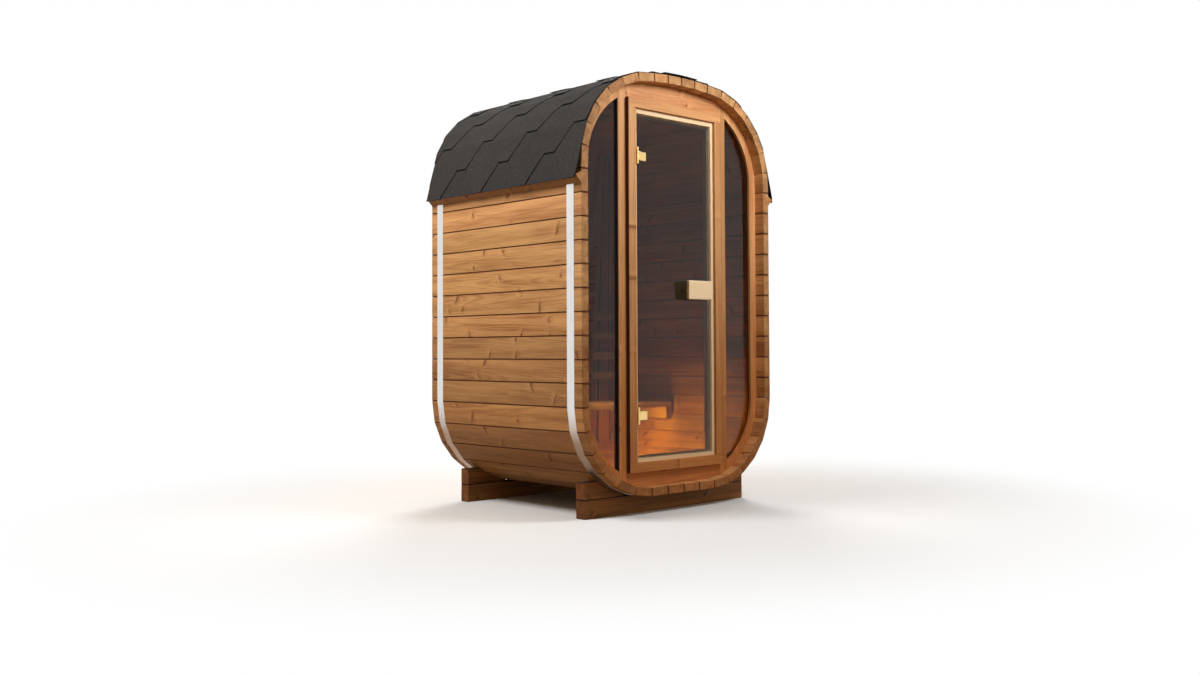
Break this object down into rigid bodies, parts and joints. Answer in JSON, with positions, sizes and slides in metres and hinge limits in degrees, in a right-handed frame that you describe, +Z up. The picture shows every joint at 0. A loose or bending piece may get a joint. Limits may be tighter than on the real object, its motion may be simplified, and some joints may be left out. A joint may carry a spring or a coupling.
{
  "type": "outdoor sauna",
  "caption": "Compact outdoor sauna: rounded-box body of timber staves on cradle skids, steel bands, shingled top, recessed glazed front with curved side windows and an outward glass door.",
  "frame": {"origin": "on the ground under the middle of the body", "axes": "+Z up, -Y out of the door, +X to the right seen from the door's outside"},
  "size_m": [1.511, 1.306, 2.3173],
  "materials": {
    "stave_wood": "oiled heat-treated softwood",
    "trim_wood": "oiled heat-treated softwood, reddish",
    "skid_wood": "oiled heat-treated softwood",
    "pale_wood": "pale planed softwood",
    "bench_wood": "planed softwood",
    "shingle": "mineral granules on bitumen felt",
    "band_steel": "bright stainless strip",
    "brass": "polished brass",
    "tinted_glass": "dark tinted toughened glass"
  },
  "bodies": {
    "cabin": {"floor_staves": "stave_wood", "right_lower_staves": "stave_wood", "left_lower_staves": "stave_wood", "right_wall_staves": "stave_wood", "left_wall_staves": "stave_wood", "right_shoulder_staves": "stave_wood", "left_shoulder_staves": "stave_wood", "crown_staves": "stave_wood", "back_wall": "stave_wood", "right_stile": "trim_wood", "left_stile": "trim_wood", "top_panel": "trim_wood", "bottom_panel": "trim_wood", "right_window_trim": "trim_wood", "left_window_trim": "trim_wood", "casing_head": "trim_wood", "casing_sill": "trim_wood", "right_casing": "trim_wood", "left_casing": "trim_wood", "right_eave_batten": "trim_wood", "left_eave_batten": "trim_wood", "front_skid": "skid_wood", "rear_skid": "skid_wood", "front_cradle_blocks": "skid_wood", "rear_cradle_blocks": "skid_wood", "door_head": "pale_wood", "door_threshold": "pale_wood", "right_door_jamb": "pale_wood", "left_door_jamb": "pale_wood", "bench_seat": "bench_wood", "bench_supports": "bench_wood", "backrest_rails": "bench_wood", "right_shingles": "shingle", "left_shingles": "shingle", "crown_shingles": "shingle", "front_band": "band_steel", "rear_band": "band_steel", "hinge_plates": "brass", "right_window": "tinted_glass", "left_window": "tinted_glass"},
    "door": {"door_glass": "tinted_glass", "hinge_clamps": "brass", "outer_handle": "pale_wood", "inner_handle": "pale_wood", "handle_spacers": "brass"}
  },
  "joints": [
    {"name": "door_hinge", "type": "hinge", "parent": "cabin", "child": "door", "pos_m": [-0.282, -0.604, 1.19], "axis": [0, 0, -1], "range_deg": [0, 110]}
  ]
}
